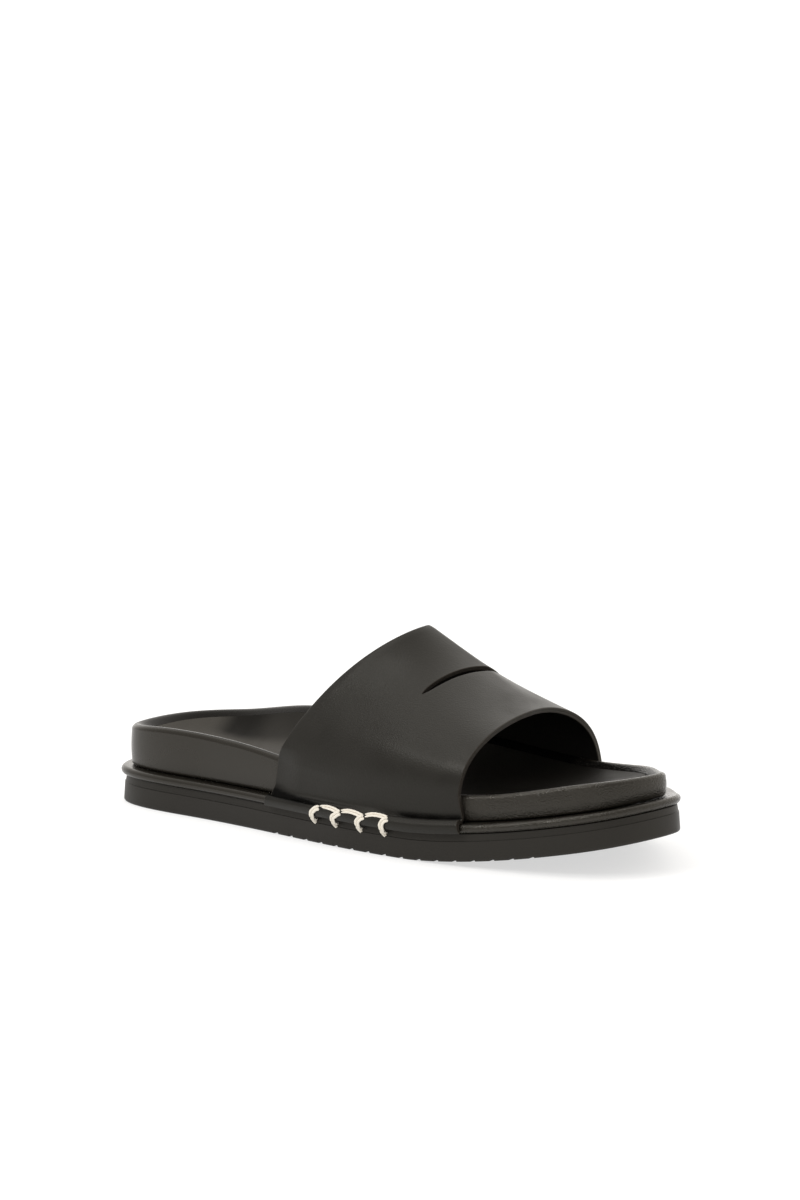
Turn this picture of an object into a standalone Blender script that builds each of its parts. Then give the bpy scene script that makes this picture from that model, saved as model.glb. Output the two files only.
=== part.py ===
"""Slide sandal, right foot: one wide leather strap over a thick leather-covered footbed, a rolled
leather rim and a grooved rubber outsole.

Metres. +X points to the toe, +Y to the inner (medial) side of the foot, +Z up. The origin is on the
ground under the middle of the outsole. Every piece is worked out from one plan outline: a piece's
edge is that outline moved inward by an inset, or outward by a negative one.
"""
from collections import namedtuple

import bpy
import bmesh
import numpy as np

# Gap between two pieces that touch on the real sandal.
GAP = 0.0003

# Plan of the sole.
LENGTH = 0.280          # heel to toe
BALL_WIDTH = 0.100      # across the ball of the foot
WAIST_WIDTH = 0.076     # across the arch
HEEL_WIDTH = 0.068      # across the heel
STATIONS = 36           # rows of points from heel tip to toe tip

# Outsole.
OUTSOLE_THICK = 0.0118
BEVEL_TALL = 0.0030     # the bevelled band along its upper edge
BEVEL_IN = 0.0014       # how far that band leans in
SIDE_FLARE = 0.0006     # how far the side spreads towards the ground
FOOT_ROUND = 0.0012     # rounding of the lower edge
TOE_SPRING = 0.0165     # rise of the sole at the toe tip
SPRING_START = 0.62     # share of LENGTH that lies flat
SPRING_POWER = 1.5
GROOVE_WIDE = 0.0024
GROOVE_DEEP = 0.0016
GROOVE_PITCH = 0.0089
GROOVE_FIRST = 0.358    # share of LENGTH
GROOVE_LAST = 0.84      # share of LENGTH

# Rim: a rolled edge, a little proud of the outsole.
RIM_RADIUS = 0.0020
RIM_OUT_HEEL = 0.0013   # how far it stands out past the outline at the heel
RIM_OUT_TOE = 0.0003    # and at the toe

# Footbed.
FOOTBED_WALL = 0.0200   # height of its side at the heel, which the heights below follow
WALL_IN_HEEL = 0.0034   # its side stands this far inside the outline at the heel
WALL_IN_TOE = 0.0060    # and this far at the toe
LIP_WIDE = 0.0034       # from the side to the top of the lip
LIP_ROUND = 0.0030      # height of the lip's rounding
DISH_INSET = 0.0107     # edge of the recess that takes the insole
DISH_SHARE = 0.18       # size of the innermost ring of the dish
INSOLE_THICK = 0.0012

# Strap.
STRAP_THICK = 0.0025
REAR_TOP = 0.0884       # height of the strap's outside over the instep, at its rear edge
FRONT_TOP = 0.0583      # the same at its front edge
RIDGE_SAG = 0.0038      # how far the ridge dips between the two
RIDGE_SHIFT = 0.0072    # how far it bows to the inner side
RIDGE_FULL = 0.07       # how much fuller the arch is halfway along
STRAP_FOOT_BACK = 0.0036   # its foot reaches this much further back than at the lip
STRAP_FOOT_FORE = 0.0036   # and this much further forward
THROAT_ROUND = 0.05     # rounding of the edges where they cross the ridge
STRAP_COLUMNS = 14

# Slit across the ridge of the strap.
SLIT_LONG = 0.0480
SLIT_WIDE = 0.0030
SLIT_AT = (0.597, 0.04)     # share of LENGTH from the heel, share of BALL_WIDTH from the middle
SLIT_TURN = 14.0        # degrees, inner end forward

# Plan outline: place along the sole, distance from its axis, and the width that distance follows.
Plan = namedtuple("Plan", "along across of")
PLAN = [
    Plan(0.000, 0.00, HEEL_WIDTH), Plan(0.014, -0.31, HEEL_WIDTH), Plan(0.086, -0.45, HEEL_WIDTH),
    Plan(0.190, -0.49, HEEL_WIDTH), Plan(0.340, -0.51, WAIST_WIDTH), Plan(0.500, -0.46, BALL_WIDTH),
    Plan(0.640, -0.48, BALL_WIDTH), Plan(0.762, -0.457, BALL_WIDTH), Plan(0.870, -0.395, BALL_WIDTH),
    Plan(0.958, -0.27, BALL_WIDTH), Plan(0.998, -0.02, BALL_WIDTH), Plan(0.970, 0.12, BALL_WIDTH),
    Plan(0.927, 0.27, BALL_WIDTH), Plan(0.862, 0.437, BALL_WIDTH), Plan(0.740, 0.523, BALL_WIDTH),
    Plan(0.600, 0.427, BALL_WIDTH), Plan(0.450, 0.424, WAIST_WIDTH), Plan(0.300, 0.426, WAIST_WIDTH),
    Plan(0.172, 0.515, HEEL_WIDTH), Plan(0.078, 0.455, HEEL_WIDTH), Plan(0.024, 0.275, HEEL_WIDTH),
]

# Heights above the rim, as shares of FOOTBED_WALL: the lip on each side, and the middle of the dish.
Bed = namedtuple("Bed", "along outer inner middle")
BED = [
    Bed(0.00, 0.88, 0.88, 0.40), Bed(0.12, 1.00, 1.01, 0.37), Bed(0.25, 0.96, 1.30, 0.42),
    Bed(0.42, 0.74, 1.38, 0.58), Bed(0.60, 0.64, 1.05, 0.46), Bed(0.75, 0.56, 0.56, 0.28),
    Bed(0.90, 0.60, 0.42, 0.27), Bed(1.00, 0.52, 0.52, 0.25),
]

# The strap's two edges: where they meet the lip on each side and where they cross the ridge, as
# shares of LENGTH, the ridge's place across as a share of BALL_WIDTH, how full the arch is, and how
# fast the edge sweeps forward as it climbs.
Edge = namedtuple("Edge", "outer inner ridge ridge_across fullness sweep top")
REAR = Edge(0.353, 0.378, 0.517, 0.096, 0.60, 0.64, REAR_TOP)
FRONT = Edge(0.710, 0.747, 0.724, 0.051, 0.47, 0.80, FRONT_TOP)


def closed_curve(points, count):
    """Points of a periodic cubic through the given ones, with knots at the square roots of chords."""
    points = np.array(points)
    number = len(points)
    step = np.sqrt(np.linalg.norm(np.roll(points, -1, 0) - points, axis=1))
    matrix = np.zeros((number, number))
    for i in range(number):
        matrix[i, i - 1] += step[i - 1]
        matrix[i, i] += 2 * (step[i - 1] + step[i])
        matrix[i, (i + 1) % number] += step[i]
    slope = (np.roll(points, -1, 0) - points) / step[:, None]
    bend = np.linalg.solve(matrix, 6 * (slope - np.roll(slope, 1, 0)))
    knots = np.concatenate([[0], np.cumsum(step)])
    t = np.linspace(0, knots[-1], count, endpoint=False)
    i = np.searchsorted(knots, t, side="right") - 1
    j = (i + 1) % number
    h, a = step[i][:, None], (t - knots[i])[:, None]
    b = h - a
    return ((bend[i] * b**3 + bend[j] * a**3) / (6 * h)
            + (points[i] / h - bend[i] * h / 6) * b + (points[j] / h - bend[j] * h / 6) * a)


def smooth(x, xs, ys):
    """A smooth curve through a table: cubic pieces whose slopes are those of its neighbours."""
    xs, ys = np.array(xs), np.array(ys)
    slope = np.gradient(ys, xs)
    x = np.clip(x, xs[0], xs[-1])
    i = np.clip(np.searchsorted(xs, x, side="right") - 1, 0, len(xs) - 2)
    h = xs[i + 1] - xs[i]
    t = (x - xs[i]) / h
    return (ys[i] * (1 + 2 * t) * (1 - t)**2 + ys[i + 1] * t * t * (3 - 2 * t)
            + h * (slope[i] * t * (1 - t)**2 - slope[i + 1] * t * t * (1 - t)))


def plan_outline():
    """The outline as a dense closed curve, centred on the origin, with its outward normals."""
    points = closed_curve([(row.along * LENGTH, row.across * row.of) for row in PLAN], 1600)
    points -= (points.min(0) + points.max(0)) / 2
    along = np.roll(points, -1, 0) - np.roll(points, 1, 0)
    normals = np.stack([along[:, 1], -along[:, 0]], 1)
    return points, normals / np.linalg.norm(normals, axis=1)[:, None]


def share(x):
    """Place along the sole: 0 at the heel, 1 at the toe."""
    return x / LENGTH + 0.5


OUTLINE, OUTWARD = plan_outline()
# Insets of the footbed's side and of the middle of the rim's roll, at each point of the outline.
WALL_IN = WALL_IN_HEEL + (WALL_IN_TOE - WALL_IN_HEEL) * share(OUTLINE[:, 0])
ROLL_IN = RIM_RADIUS - RIM_OUT_HEEL - (RIM_OUT_TOE - RIM_OUT_HEEL) * share(OUTLINE[:, 0])


def spring(x):
    """Rise of the whole sole at x: nothing as far as the ball, then up to the toe."""
    past = np.clip((share(x) - SPRING_START) / (1 - SPRING_START), 0, None)
    return TOE_SPRING * past**SPRING_POWER


def branches(inset):
    """The outline moved in by inset, as its outer and its inner side, each from heel to toe."""
    moved = OUTLINE - OUTWARD * np.broadcast_to(inset, len(OUTLINE))[:, None]
    moved = np.roll(moved, -moved[:, 0].argmin(), 0)
    toe = moved[:, 0].argmax()
    return moved[:toe + 1], np.vstack([moved[toe:], moved[:1]])[::-1]


STATION_SHARE = (1 - np.cos(np.pi * np.arange(STATIONS + 1) / STATIONS)) / 2


def ring(inset):
    """Points round the outline moved in by inset: heel tip, outer side, toe tip, inner side."""
    outer, inner = branches(inset)
    x = outer[0, 0] + (outer[-1, 0] - outer[0, 0]) * STATION_SHARE
    y_outer = np.interp(x, outer[:, 0], outer[:, 1])
    y_inner = np.interp(x, inner[:, 0], inner[:, 1])
    return np.vstack([np.stack([x, y_outer], 1), np.stack([x, y_inner], 1)[-2:0:-1]])


def side_y(x, inset, inner):
    """y of the outline moved in by inset, at x, on the outer or the inner side."""
    branch = branches(inset)[1 if inner else 0]
    return np.interp(x, branch[:, 0], branch[:, 1])


def lifted(plan, height):
    """Plan points with a height above the sole's own curve."""
    return np.column_stack([plan, height + spring(plan[:, 0])])


# Heights of the stack, each from the one below.
RIM_LOW = OUTSOLE_THICK + GAP
RIM_MIDDLE = RIM_LOW + RIM_RADIUS
RIM_HIGH = RIM_LOW + 2 * RIM_RADIUS
BED_LOW = RIM_HIGH + GAP
STATION = np.concatenate([STATION_SHARE, STATION_SHARE[-2:0:-1]])
ON_INNER_SIDE = np.arange(2 * STATIONS) > STATIONS


def lip_height(along, inner):
    """Height of the footbed's lip above the sole's curve."""
    column = [row.inner if inner else row.outer for row in BED]
    return BED_LOW + FOOTBED_WALL * smooth(along, [row.along for row in BED], column)


def middle_height(along):
    """Height of the insole's top along the middle of the foot, above the sole's curve."""
    return BED_LOW + FOOTBED_WALL * smooth(along, [row.along for row in BED], [row.middle for row in BED])


LIP = np.where(ON_INNER_SIDE, lip_height(STATION, True), lip_height(STATION, False))
DISH_EDGE = LIP - LIP_ROUND * 0.6 - INSOLE_THICK - GAP


def dish(inset, size):
    """A ring of the recess under the insole; size 1 is its edge, 0 the line down the middle."""
    edge = ring(inset)
    spine_x = (np.interp(STATION, [0, 1], [0.13, 0.86]) - 0.5) * LENGTH
    spine_y = (side_y(spine_x, inset, False) + side_y(spine_x, inset, True)) / 2
    plan = edge * size + np.stack([spine_x, spine_y], 1) * (1 - size)
    middle = middle_height(share(plan[:, 0])) - INSOLE_THICK - GAP
    return lifted(plan, middle + (DISH_EDGE - middle) * size**2.4)


def ring_solid(name, rings, material):
    """A closed solid from rings of equal count, lowest first, its ends filled across the foot."""
    count = len(rings[0])
    faces = []
    for low in range(len(rings) - 1):
        for i in range(count):
            j = (i + 1) % count
            a, b = low * count, (low + 1) * count
            faces.append((a + i, a + j, b + j, b + i))
    for base, turned in ((0, True), ((len(rings) - 1) * count, False)):
        for i in range(STATIONS):
            # Station i on the outer side faces station -i on the inner side; the tips are shared.
            corners = [base + i, base + i + 1, base + (count - i - 1) % count, base + (count - i) % count]
            corners = list(dict.fromkeys(corners))
            faces.append(tuple(reversed(corners)) if turned else tuple(corners))
    return solid(name, np.vstack(rings), faces, material)


def shade(mesh):
    """Smooth shading with sharp edges from 35 degrees."""
    mesh.shade_smooth()
    mesh.set_sharp_from_angle(angle=np.radians(35))


def solid(name, points, faces, material):
    """A mesh object with planar triangles and its faces pointing out."""
    mesh = bpy.data.meshes.new(name)
    mesh.from_pydata([tuple(p) for p in points], [], faces)
    shape = bmesh.new()
    shape.from_mesh(mesh)
    bmesh.ops.triangulate(shape, faces=[f for f in shape.faces if len(f.verts) > 3])
    bmesh.ops.recalc_face_normals(shape, faces=shape.faces)
    shape.to_mesh(mesh)
    shape.free()
    shade(mesh)
    mesh.materials.append(material)
    result = bpy.data.objects.new(name, mesh)
    bpy.context.collection.objects.link(result)
    return result


def material(name, colour, roughness):
    result = bpy.data.materials.new(name)
    result.use_nodes = True
    shader = result.node_tree.nodes["Principled BSDF"]
    shader.inputs["Base Color"].default_value = (*colour, 1)
    shader.inputs["Roughness"].default_value = roughness
    shader.inputs["Metallic"].default_value = 0
    return result


def cut(target, cutter):
    """Takes the cutter's shape out of the target, and the cutter away."""
    boolean = target.modifiers.new(cutter.name, "BOOLEAN")
    boolean.operation = "DIFFERENCE"
    boolean.object = cutter
    whole = target.data
    target.data = bpy.data.meshes.new_from_object(target.evaluated_get(bpy.context.evaluated_depsgraph_get()))
    target.data.name = target.name
    target.modifiers.clear()
    shade(target.data)
    bpy.data.objects.remove(cutter)
    bpy.data.meshes.remove(whole)


def make_outsole(rubber):
    """The rubber sole: bevelled upper edge, side that spreads downward, flat tread with grooves."""
    bevel_low = OUTSOLE_THICK - BEVEL_TALL
    side_in = SIDE_FLARE / 2
    outsole = ring_solid("outsole", [
        lifted(ring(FOOT_ROUND - side_in), 0.0),
        lifted(ring(-side_in), FOOT_ROUND),
        lifted(ring(side_in), bevel_low),
        lifted(ring(side_in + BEVEL_IN), OUTSOLE_THICK),
    ], rubber)
    points, faces = [], []
    for x in np.arange((GROOVE_FIRST - 0.5) * LENGTH, (GROOVE_LAST - 0.5) * LENGTH, GROOVE_PITCH):
        # Each groove is a bar set square to the tread where it crosses it.
        tilt = np.arctan((spring(x + 0.001) - spring(x - 0.001)) / 0.002)
        forward, up = np.array([np.cos(tilt), 0, np.sin(tilt)]), np.array([-np.sin(tilt), 0, np.cos(tilt)])
        centre = np.array([x, 0, spring(x)])
        first = len(points)
        for lift in (-GROOVE_DEEP, GROOVE_DEEP):
            for fore in (-GROOVE_WIDE / 2, GROOVE_WIDE / 2):
                for across in (-BALL_WIDTH, BALL_WIDTH):
                    points.append(centre + up * lift + forward * fore + np.array([0, across, 0]))
        for face in ((0, 2, 3, 1), (4, 5, 7, 6), (0, 1, 5, 4), (2, 6, 7, 3), (0, 4, 6, 2), (1, 3, 7, 5)):
            faces.append(tuple(first + corner for corner in face))
    cut(outsole, solid("groove_cutter", points, faces, rubber))
    return outsole


def make_rim(leather):
    """The rolled rim, a plate with a half-round edge that stands a little proud of the outsole."""
    turns = np.radians([-80, -50, -20, 10, 45, 80])
    rings = [lifted(ring(ROLL_IN - RIM_RADIUS * np.cos(a)), RIM_MIDDLE + RIM_RADIUS * np.sin(a)) for a in turns]
    low, high = (lifted(ring(ROLL_IN + RIM_RADIUS / 2), height) for height in (RIM_LOW, RIM_HIGH))
    return ring_solid("rim", [low, *rings, high], leather)


def make_footbed(leather):
    """The padded block: upright side, rounded lip, and a dish with a recess for the insole."""
    rings = [
        lifted(ring(WALL_IN + 0.0006), BED_LOW),
        lifted(ring(WALL_IN), BED_LOW + 0.0008),
        lifted(ring(WALL_IN), LIP - LIP_ROUND),
        lifted(ring(WALL_IN + LIP_WIDE * 0.22), LIP - LIP_ROUND * 0.36),
        lifted(ring(WALL_IN + LIP_WIDE * 0.55), LIP - LIP_ROUND * 0.08),
        lifted(ring(WALL_IN + LIP_WIDE), LIP),
        lifted(ring(DISH_INSET), DISH_EDGE + INSOLE_THICK + GAP),
        dish(DISH_INSET + 0.0001, 1.0),
    ]
    rings += [dish(DISH_INSET + 0.0001, size) for size in (0.85, 0.66, 0.44, DISH_SHARE)]
    return ring_solid("footbed", rings, leather)


def make_insole(leather):
    """The leather sock in the dish, of even thickness, flush with the lip."""
    sizes = (DISH_SHARE, 0.44, 0.66, 0.85, 1.0)
    below = [dish(DISH_INSET + GAP, size) + (0, 0, GAP) for size in sizes]
    above = [points + (0, 0, INSOLE_THICK) for points in reversed(below)]
    return ring_solid("insole", below + above, leather)


def strap_section(u):
    """Outside of the strap across the foot at u (0 rear edge, 1 front edge), from foot to foot.

    Each foot rolls over the rim on a circle, turns up through a soft crease and stands against the
    footbed's side; between the lips the strap is an arch, whose height above them follows
    (1 - wide*wide)**fullness, where wide runs from 0 at the ridge to 1 at a lip.
    """
    def between(name):
        return getattr(REAR, name) * (1 - u) + getattr(FRONT, name) * u

    bulge = 4 * u * (1 - u)
    top = np.array([(between("ridge") - 0.5) * LENGTH,
                    between("ridge_across") * BALL_WIDTH + RIDGE_SHIFT * bulge,
                    between("top") - RIDGE_SAG * bulge])
    roll = RIM_RADIUS + GAP + STRAP_THICK
    wall = WALL_IN - GAP - STRAP_THICK
    sides = []
    for inner in (False, True):
        lip_x = (between("inner" if inner else "outer") - 0.5) * LENGTH
        lip = lip_height(share(lip_x), inner)
        turns = np.radians([-27, -8, 12, 35, 58])
        rows = [(ROLL_IN - roll * np.cos(a), RIM_MIDDLE + roll * np.sin(a)) for a in turns]
        rows += [(wall - roll * 0.26, RIM_MIDDLE + roll * 0.98), (wall - roll * 0.06, RIM_MIDDLE + roll * 1.16)]
        turn_top = RIM_MIDDLE + roll * 1.5
        rows += [(wall, turn_top + (lip - turn_top) * part) for part in (0, 0.33, 0.67)]
        points = []
        for inset, z in rows:
            down = np.clip((lip - z) / (lip - RIM_LOW), 0, 1)
            x = lip_x + (STRAP_FOOT_FORE * u - STRAP_FOOT_BACK * (1 - u)) * down
            points.append((x, float(side_y(x, inset, inner)), z + spring(x)))
        sides.append((np.array(points), np.array([lip_x, float(side_y(lip_x, wall, inner)), lip + spring(lip_x)])))
    (outer_foot, outer_lip), (inner_foot, inner_lip) = sides
    arch = []
    for s in np.linspace(-1, 1, 23):
        lip = outer_lip if s < 0 else inner_lip
        wide = np.sin(np.pi / 2 * abs(s))
        rise = max(1 - wide**2, 0) ** (between("fullness") - RIDGE_FULL * bulge)
        apex, sweep = THROAT_ROUND, between("sweep")
        forth = ((1 - rise + apex)**sweep - apex**sweep) / ((1 + apex)**sweep - apex**sweep)
        arch.append(((top + (lip - top) * forth)[0], (top + (lip - top) * wide)[1], lip[2] + (top[2] - lip[2]) * rise))
    return np.vstack([outer_foot, arch, inner_foot[::-1]])


def make_upper(leather):
    """The strap: the outer surface and one STRAP_THICK inside it, joined along their edges."""
    outside = np.array([strap_section(u) for u in np.linspace(0, 1, STRAP_COLUMNS + 1)])
    normal = np.cross(np.gradient(outside, axis=0), np.gradient(outside, axis=1))
    normal /= np.linalg.norm(normal, axis=2)[:, :, None]
    if normal[STRAP_COLUMNS // 2, outside.shape[1] // 2, 2] < 0:
        normal = -normal
    inside = outside - normal * STRAP_THICK
    columns, rows = outside.shape[:2]
    half = columns * rows

    def quads(first, turned):
        return [tuple((first + c * rows + r, first + (c + 1) * rows + r, first + (c + 1) * rows + r + 1,
                       first + c * rows + r + 1)[::-1 if turned else 1])
                for c in range(columns - 1) for r in range(rows - 1)]

    border = [c * rows for c in range(columns)]
    border += [(columns - 1) * rows + r for r in range(1, rows)]
    border += [c * rows + rows - 1 for c in range(columns - 2, -1, -1)]
    border += list(range(rows - 2, 0, -1))
    faces = quads(0, False) + quads(half, True)
    faces += [(a, b, half + b, half + a) for a, b in zip(border, border[1:] + border[:1])]
    upper = solid("upper", np.vstack([outside.reshape(-1, 3), inside.reshape(-1, 3)]), faces, leather)

    # The slit: a lens-shaped bar that stands upright through the ridge.
    middle = np.array([(SLIT_AT[0] - 0.5) * LENGTH, SLIT_AT[1] * BALL_WIDTH])
    turn = np.radians(SLIT_TURN)
    along, across = np.array([np.sin(turn), np.cos(turn)]), np.array([np.cos(turn), -np.sin(turn)])
    steps = np.linspace(-1, 1, 9)
    lens = [middle + along * s * SLIT_LONG / 2 + across * SLIT_WIDE / 2 * (1 - s * s) for s in steps]
    lens += [middle + along * s * SLIT_LONG / 2 - across * SLIT_WIDE / 2 * (1 - s * s) for s in steps[-2:0:-1]]
    count = len(lens)
    points = [(*p, z) for z in (FRONT_TOP - 0.01, REAR_TOP + 0.01) for p in lens]
    faces = [tuple(range(count)), tuple(range(count, 2 * count))[::-1]]
    faces += [(i, (i + 1) % count, count + (i + 1) % count, count + i) for i in range(count)]
    cut(upper, solid("slit_cutter", points, faces, leather))
    return upper


def main():
    for old in list(bpy.data.objects):
        bpy.data.objects.remove(old)
    rubber = material("outsole_rubber", (0.020, 0.020, 0.021), 0.62)
    strap_leather = material("strap_leather", (0.016, 0.016, 0.018), 0.36)
    bed_leather = material("footbed_leather", (0.018, 0.018, 0.019), 0.42)
    sock_leather = material("insole_leather", (0.022, 0.021, 0.020), 0.50)
    make_outsole(rubber)
    make_rim(bed_leather)
    make_footbed(bed_leather)
    make_insole(sock_leather)
    make_upper(strap_leather)


main()
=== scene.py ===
# %% [markdown]
# # A black leather slide sandal
# This notebook dresses the plain solids of one slide sandal, the right shoe, until they look like the
# real thing. Each new piece is a surface worked out with numpy on a grid of two parameters, because a
# shoe is made the same way: flat leather and rubber that follow one outline, the edge of the last.
# All lengths are in metres. +X points to the toe, +Y to the inner side of the foot, +Z up.

# %% The fixed frame
from collections import namedtuple

import bmesh
import bpy
import numpy as np
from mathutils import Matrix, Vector


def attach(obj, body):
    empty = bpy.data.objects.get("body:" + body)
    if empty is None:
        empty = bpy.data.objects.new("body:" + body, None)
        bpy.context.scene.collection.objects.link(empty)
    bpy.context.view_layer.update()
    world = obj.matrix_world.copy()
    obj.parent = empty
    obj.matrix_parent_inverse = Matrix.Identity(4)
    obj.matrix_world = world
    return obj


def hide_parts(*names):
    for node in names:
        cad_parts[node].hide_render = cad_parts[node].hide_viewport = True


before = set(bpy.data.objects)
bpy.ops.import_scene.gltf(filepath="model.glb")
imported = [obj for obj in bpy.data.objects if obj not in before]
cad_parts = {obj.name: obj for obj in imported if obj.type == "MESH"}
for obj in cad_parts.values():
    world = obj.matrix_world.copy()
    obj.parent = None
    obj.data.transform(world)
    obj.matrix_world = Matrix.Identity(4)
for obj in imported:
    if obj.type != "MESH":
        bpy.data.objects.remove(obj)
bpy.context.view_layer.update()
print("solids:", sorted(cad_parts))

# %% [markdown]
# ## Camera
# The photograph was taken from the outer side and in front of the toe, a little above the sandal, with
# a long lens. The camera comes first, because every later choice is judged through it.

# %% Camera
camera = bpy.data.objects.new("camera", bpy.data.cameras.new("camera"))
bpy.context.scene.collection.objects.link(camera)
camera.location = (1.5001, -2.1562, 0.5857)
camera.rotation_euler = np.radians([79.531, 0.008, 34.891])
camera.data.sensor_fit = "VERTICAL"
camera.data.sensor_height = 36.0
camera.data.lens = 186.68
camera.data.clip_start, camera.data.clip_end = 0.1, 60.0
bpy.context.scene.camera = camera
bpy.context.scene.view_settings.view_transform = "Standard"

# %% [markdown]
# ## The outline of the last
# A sole is cut round a last. Its outline is a closed curve through a few listed places: how far
# along the foot, and how far across, as a share of the width at the heel, waist or ball. Every edge of
# this shoe is that outline moved in or out, so one function serves the sole, rim, footbed and insole.

# %% The outline
LENGTH, BALL, WAIST, HEEL = 0.280, 0.100, 0.076, 0.068
Plan = namedtuple("Plan", "along across of")
PLAN = [
    Plan(0.000, 0.00, HEEL), Plan(0.014, -0.31, HEEL), Plan(0.086, -0.45, HEEL), Plan(0.190, -0.49, HEEL),
    Plan(0.340, -0.51, WAIST), Plan(0.500, -0.46, BALL), Plan(0.640, -0.48, BALL), Plan(0.762, -0.457, BALL),
    Plan(0.870, -0.395, BALL), Plan(0.958, -0.27, BALL), Plan(0.998, -0.02, BALL), Plan(0.970, 0.12, BALL),
    Plan(0.927, 0.27, BALL), Plan(0.862, 0.437, BALL), Plan(0.740, 0.523, BALL), Plan(0.600, 0.427, BALL),
    Plan(0.450, 0.424, WAIST), Plan(0.300, 0.426, WAIST), Plan(0.172, 0.515, HEEL), Plan(0.078, 0.455, HEEL),
    Plan(0.024, 0.275, HEEL),
]


def closed_curve(points, count):
    """Points of a closed cubic through the given ones. Between two of them the curve is a cubic whose
    bend is continuous; a stretch gets the square root of its chord as its share of the parameter."""
    points = np.array(points)
    step = np.sqrt(np.linalg.norm(np.roll(points, -1, 0) - points, axis=1))
    before = np.roll(step, 1)
    size = len(points)
    matrix = np.diag(2 * (before + step)) + np.roll(np.diag(step), 1, 1) + np.roll(np.diag(before), -1, 1)
    slope = (np.roll(points, -1, 0) - points) / step[:, None]
    bend = np.linalg.solve(matrix, 6 * (slope - np.roll(slope, 1, 0)))
    knots = np.concatenate([[0], np.cumsum(step)])
    t = np.linspace(0, knots[-1], count, endpoint=False)
    i = np.searchsorted(knots, t, side="right") - 1
    j = (i + 1) % size
    h, a = step[i][:, None], (t - knots[i])[:, None]
    b = h - a
    return ((bend[i] * b**3 + bend[j] * a**3) / (6 * h)
            + (points[i] / h - bend[i] * h / 6) * b + (points[j] / h - bend[j] * h / 6) * a)


def smooth(x, xs, ys):
    """A smooth curve through a table: cubic stretches whose slopes are those of the neighbours."""
    xs, ys = np.array(xs), np.array(ys)
    slope = np.gradient(ys, xs)
    x = np.clip(x, xs[0], xs[-1])
    i = np.clip(np.searchsorted(xs, x, side="right") - 1, 0, len(xs) - 2)
    h = xs[i + 1] - xs[i]
    t = (x - xs[i]) / h
    return (ys[i] * (1 + 2 * t) * (1 - t)**2 + ys[i + 1] * t * t * (3 - 2 * t)
            + h * (slope[i] * t * (1 - t)**2 - slope[i + 1] * t * t * (1 - t)))


def fade(value):
    """1 at 0 and below, 0 at 1 and above, smooth between."""
    value = np.clip(value, 0, 1)
    return 1 - value * value * (3 - 2 * value)


OUTLINE = closed_curve([(row.along * LENGTH, row.across * row.of) for row in PLAN], 6000)
OUTLINE -= (OUTLINE.min(0) + OUTLINE.max(0)) / 2
along = np.roll(OUTLINE, -1, 0) - np.roll(OUTLINE, 1, 0)
OUTWARD = np.stack([along[:, 1], -along[:, 0]], 1) / np.linalg.norm(along, axis=1)[:, None]
print("outline, mm:", np.round(np.ptp(OUTLINE, axis=0) * 1000, 1))

# %% [markdown]
# ## Rings
# A ring is the outline moved in by an inset, read off at the same stations on both sides of the foot.
# Equal stations let a surface run straight across from side to side, as a tread or a dish does.

# %% Rings
TOE_SPRING, SPRING_START, SPRING_POWER = 0.0165, 0.62, 1.5
TIP = 0.12                  # share of the length at each end in which a ring follows its own tip


def share(x):
    """Place along the sole: 0 at the heel, 1 at the toe."""
    return x / LENGTH + 0.5


def spring(x):
    """Rise of the whole sole towards the toe tip."""
    past = np.clip((share(x) - SPRING_START) / (1 - SPRING_START), 0, None)
    return TOE_SPRING * past**SPRING_POWER


def stations(count):
    """Shares of the length, closer together towards the tips: (1 - cos) / 2 of an even angle."""
    return (1 - np.cos(np.pi * np.arange(count + 1) / count)) / 2


def branches(inset):
    """The outline moved in by inset, as its outer and its inner side, each from heel to toe."""
    moved = OUTLINE - OUTWARD * np.broadcast_to(inset, len(OUTLINE))[:, None]
    moved = np.roll(moved, -moved[:, 0].argmin(), 0)
    toe = moved[:, 0].argmax()
    return moved[:toe + 1], np.vstack([moved[toe:], moved[:1]])[::-1]


def side_y(x, inset, inner):
    """y of the outline moved in by inset, at x, on the outer or the inner side."""
    branch = branches(inset)[1 if inner else 0]
    return np.interp(x, branch[:, 0], branch[:, 1])


def ring(inset, where):
    """Plan points round the outline moved in by inset: heel tip, outer side, toe tip, inner side."""
    outer, inner = branches(inset)
    heel, toe = outer[0, 0] + LENGTH / 2, outer[-1, 0] - LENGTH / 2
    to_heel = heel * np.clip(1 - where / TIP, 0, 1)**2
    to_toe = toe * np.clip(1 - (1 - where) / TIP, 0, 1)**2
    x = (where - 0.5) * LENGTH + to_heel + to_toe
    y_outer = np.interp(x, outer[:, 0], outer[:, 1])
    y_inner = np.interp(x, inner[:, 0], inner[:, 1])
    return np.vstack([np.stack([x, y_outer], 1), np.stack([x, y_inner], 1)[-2:0:-1]])


def lifted(plan, height):
    """Plan points with a height above the sole's own curve."""
    return np.column_stack([plan, height + spring(plan[:, 0])])


# %% [markdown]
# ## From grid to mesh
# A piece is a stack of rings or a grid of points. The faces are quads between neighbours, worked out as
# whole arrays of indices, and points that meet are merged, so each piece ends as one closed skin.

# %% Mesh helpers
SHARP = 38.0                # degrees between faces from which an edge is drawn as an edge
MERGE, COLLAPSE = 2e-6, 1e-7            # distance of points that are one, and length of a lost edge


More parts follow.
